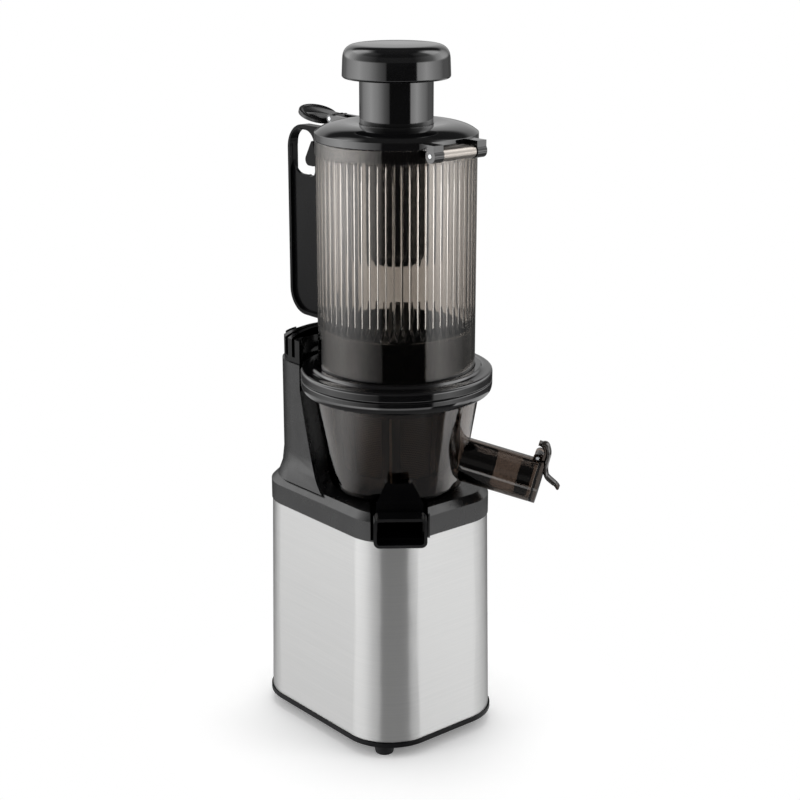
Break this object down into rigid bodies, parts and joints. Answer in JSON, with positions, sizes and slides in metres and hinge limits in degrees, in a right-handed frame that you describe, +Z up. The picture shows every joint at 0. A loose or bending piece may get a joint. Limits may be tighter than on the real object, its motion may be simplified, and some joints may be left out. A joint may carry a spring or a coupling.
{
  "type": "cold press juicer",
  "caption": "Upright slow juicer: steel motor base, smoky juicing bowl with spout and pulp chute, tall fluted hopper with handle, hinged lid and pusher.",
  "frame": {"origin": "on the floor at the middle of the whole footprint", "axes": "+Z up out of the feet, -Y towards the lid's hinge, +Y towards the handle and the tower"},
  "size_m": [0.1496, 0.2224, 0.5147],
  "materials": {
    "rim_plastic": "satin",
    "rubber": "matte",
    "steel_screw": "polished",
    "brushed": "brushed",
    "shell": "satin",
    "gloss_black": "gloss",
    "cast": "as cast",
    "lamination": "laminated",
    "copper": "enamelled wire",
    "shaft_steel": "ground",
    "gear_steel": "ground",
    "gear_plastic": "moulded",
    "fan_plastic": "moulded",
    "board": "printed board",
    "switch_plastic": "moulded",
    "button_plastic": "moulded",
    "smoke": "clear smoky",
    "smoke_light": "clear smoky",
    "silicone": "translucent",
    "auger_plastic": "satin",
    "screen": "perforated",
    "mount_strip": "satin"
  },
  "bodies": {
    "base": {"base_plate": "rim_plastic", "rubber_feet": "rubber", "foot_screws": "steel_screw", "steel_sleeve": "brushed", "top_shell": "shell", "tower_shell": "shell", "tower_cap": "gloss_black", "gearbox_case": "cast", "gearbox_cover": "cast", "case_screws": "steel_screw", "motor_stator": "lamination", "motor_coils": "copper", "motor_upper_bell": "cast", "motor_lower_bell": "cast", "motor_tie_screws": "steel_screw", "stage_pin": "shaft_steel", "drive_bearings": "gear_steel", "shaft_seal": "rubber", "knob_switch": "switch_plastic", "control_board": "board", "safety_switch": "switch_plastic", "cord_gland": "rubber"},
    "knob": {"control_knob": "gloss_black", "knob_spindle": "shaft_steel"},
    "button": {"safety_button": "button_plastic"},
    "motor_rotor": {"rotor": "lamination", "cooling_fan": "fan_plastic", "motor_pinion": "gear_steel"},
    "stage": {"stage_gear": "gear_plastic"},
    "drive": {"drive_shaft": "shaft_steel", "output_gear": "gear_steel"},
    "bowl": {"juice_bowl": "smoke", "bowl_rim_ring": "gloss_black", "bowl_hub_seal": "silicone", "pulp_chute": "gloss_black", "pulp_seal": "silicone", "juice_cap_pin": "shaft_steel", "strainer_frame": "smoke", "strainer_screen": "screen", "bowl_pinion_pin": "shaft_steel"},
    "wiper": {"wiper_frame": "smoke", "wiper_blades": "silicone"},
    "pinion": {"bowl_pinion": "gear_plastic"},
    "auger": {"auger": "auger_plastic", "auger_socket": "shaft_steel"},
    "spout_cap": {"juice_cap": "smoke_light", "juice_cap_seal": "rubber"},
    "gasket": {"hopper_seal": "silicone"},
    "hopper": {"hopper_tube": "smoke_light", "hopper_flange": "gloss_black", "handle": "shell", "handle_mount": "mount_strip", "handle_screws": "steel_screw", "hinge_pin": "shaft_steel"},
    "lid": {"lid": "gloss_black", "lid_seal": "silicone", "latch_pin": "shaft_steel"},
    "latch": {"latch_lever": "shell"},
    "pusher": {"pusher_shaft": "gloss_black", "pusher_cap": "gloss_black"}
  },
  "joints": [
    {"name": "drive_spin", "type": "hinge", "parent": "base", "child": "drive", "pos_m": [-0.00458, -0.01304, 0.2], "axis": [0, 0, 1], "continuous": true},
    {"name": "stage_spin", "type": "hinge", "parent": "base", "child": "stage", "pos_m": [0.02137, 0.0174, 0.15], "axis": [0, 0, 1], "continuous": true},
    {"name": "motor_spin", "type": "hinge", "parent": "base", "child": "motor_rotor", "pos_m": [-0.00458, 0.03696, 0.08], "axis": [0, 0, 1], "continuous": true},
    {"name": "knob_turn", "type": "hinge", "parent": "base", "child": "knob", "pos_m": [0.05672, -0.02504, 0.0905], "axis": [1, 0, 0], "range_deg": [-60, 60]},
    {"name": "button_press", "type": "slide", "parent": "base", "child": "button", "axis": [0, 1, 0], "range_m": [0, 0.0018], "stiffness_N_per_m": 150, "springref_m": -0.004},
    {"name": "bowl_lift", "type": "slide", "parent": "base", "child": "bowl", "axis": [0, 0, 1], "range_m": [0, 0.12]},
    {"name": "auger_spin", "type": "hinge", "parent": "bowl", "child": "auger", "pos_m": [-0.00458, -0.01304, 0.21], "axis": [0, 0, 1], "continuous": true},
    {"name": "pinion_spin", "type": "hinge", "parent": "bowl", "child": "pinion", "pos_m": [-0.01751, 0.00351, 0.197], "axis": [0, 0, 1], "continuous": true},
    {"name": "wiper_spin", "type": "hinge", "parent": "bowl", "child": "wiper", "pos_m": [-0.00458, -0.01304, 0.23], "axis": [0, 0, 1], "continuous": true},
    {"name": "spout_cap_swing", "type": "hinge", "parent": "bowl", "child": "spout_cap", "pos_m": [0.06085, -0.09679, 0.22064], "axis": [-0.788, -0.6157, 0], "range_deg": [0, 80]},
    {"name": "hopper_lift", "type": "slide", "parent": "bowl", "child": "gasket", "axis": [0, 0, 1], "range_m": [0, 0.13]},
    {"name": "hopper_twist", "type": "hinge", "parent": "gasket", "child": "hopper", "pos_m": [-0.00458, -0.01304, 0.28], "axis": [0, 0, 1], "range_deg": [0, 30]},
    {"name": "lid_swing", "type": "hinge", "parent": "hopper", "child": "lid", "pos_m": [-0.00458, -0.07654, 0.4455], "axis": [1, 0, 0], "range_deg": [0, 105]},
    {"name": "latch_rock", "type": "hinge", "parent": "lid", "child": "latch", "pos_m": [-0.00458, 0.05396, 0.4561], "axis": [-1, 0, 0], "range_deg": [0, 6], "stiffness_Nm_per_rad": 0.2, "springref_deg": -14.9},
    {"name": "pusher_slide", "type": "slide", "parent": "lid", "child": "pusher", "axis": [0, 0, 1], "range_m": [0, 0.095]}
  ],
  "couplings": [
    {"joint": "stage_spin", "follows": "drive_spin", "ratio": -3.5714},
    {"joint": "motor_spin", "follows": "drive_spin", "ratio": 11.905},
    {"joint": "auger_spin", "follows": "drive_spin", "ratio": 1},
    {"joint": "pinion_spin", "follows": "drive_spin", "ratio": -1.5},
    {"joint": "wiper_spin", "follows": "drive_spin", "ratio": -0.42857}
  ]
}
